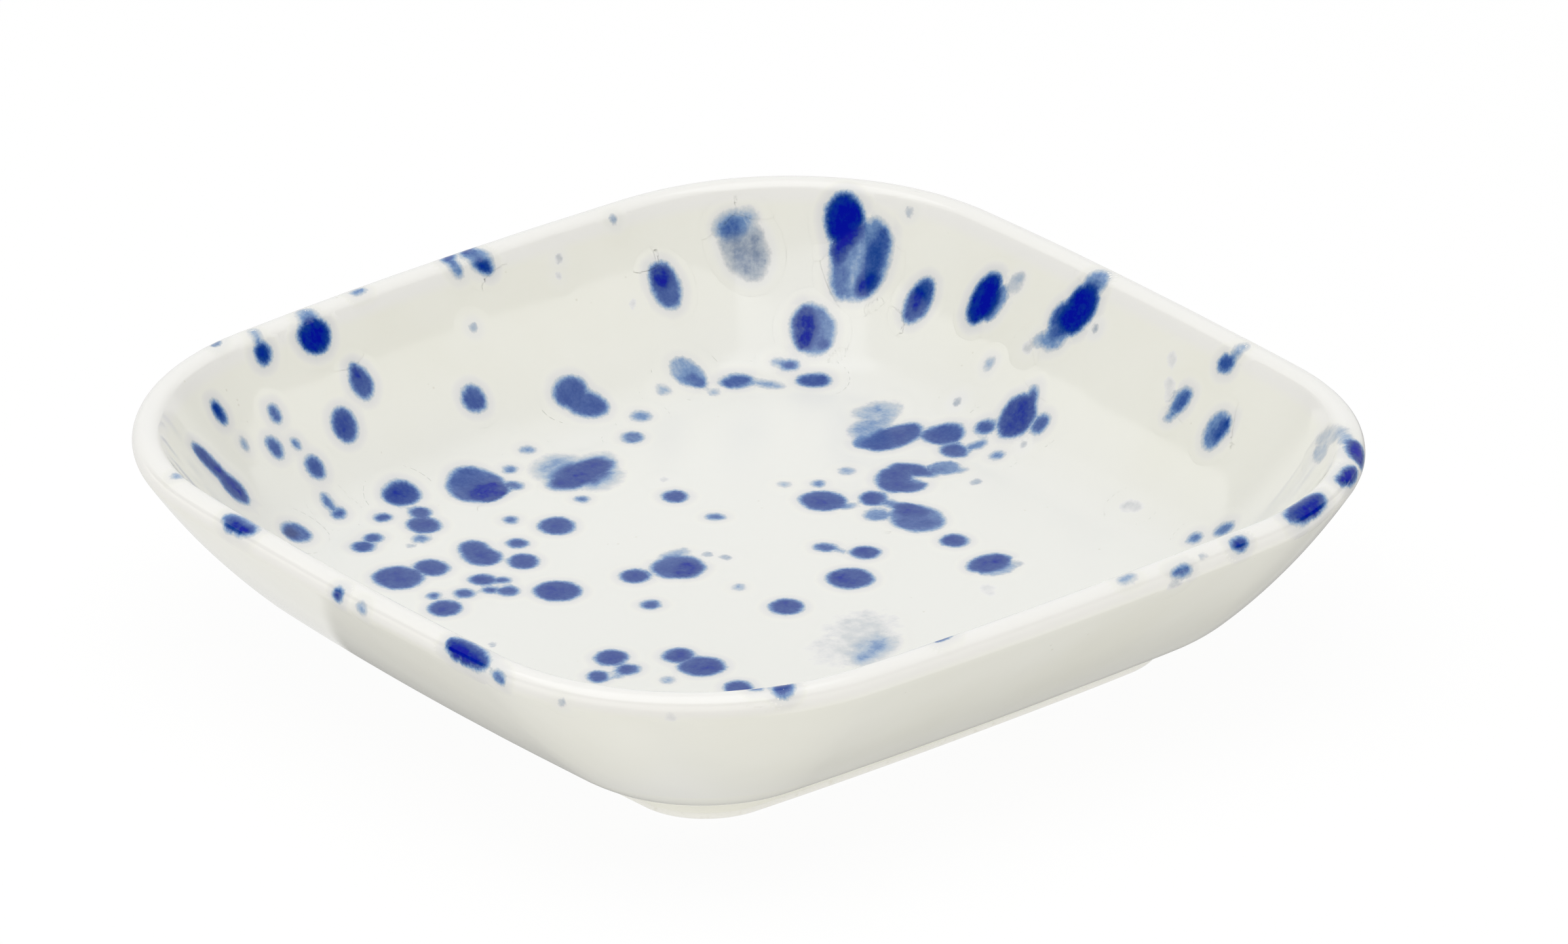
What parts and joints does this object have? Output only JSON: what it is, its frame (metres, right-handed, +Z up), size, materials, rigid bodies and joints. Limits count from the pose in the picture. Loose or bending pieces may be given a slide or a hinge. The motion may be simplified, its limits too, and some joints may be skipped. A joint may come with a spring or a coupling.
{
  "type": "soy sauce dish",
  "caption": "Small square dish with rounded corners, flared walls and a low foot ring, glazed white and spattered with blue, for serving soy sauce or dips",
  "frame": {"origin": "middle of the standing plane, on the table under the centre of the dish", "axes": "+Z up out of the well; X and Y square to the sides, with the spatter's densest corner at -X +Y"},
  "size_m": [0.095, 0.095, 0.0211],
  "materials": {
    "clay": "bare fired white stoneware, matt",
    "glaze": "warm white gloss glaze",
    "cobalt": "cobalt blue drops, gloss"
  },
  "bodies": {
    "root": {"clay_body": "clay", "foot_ring": "clay", "glaze_coat": "glaze", "base_glaze": "glaze", "floor_spatter": "cobalt", "wall_spatter": "cobalt", "rim_spatter": "cobalt"}
  },
  "joints": []
}
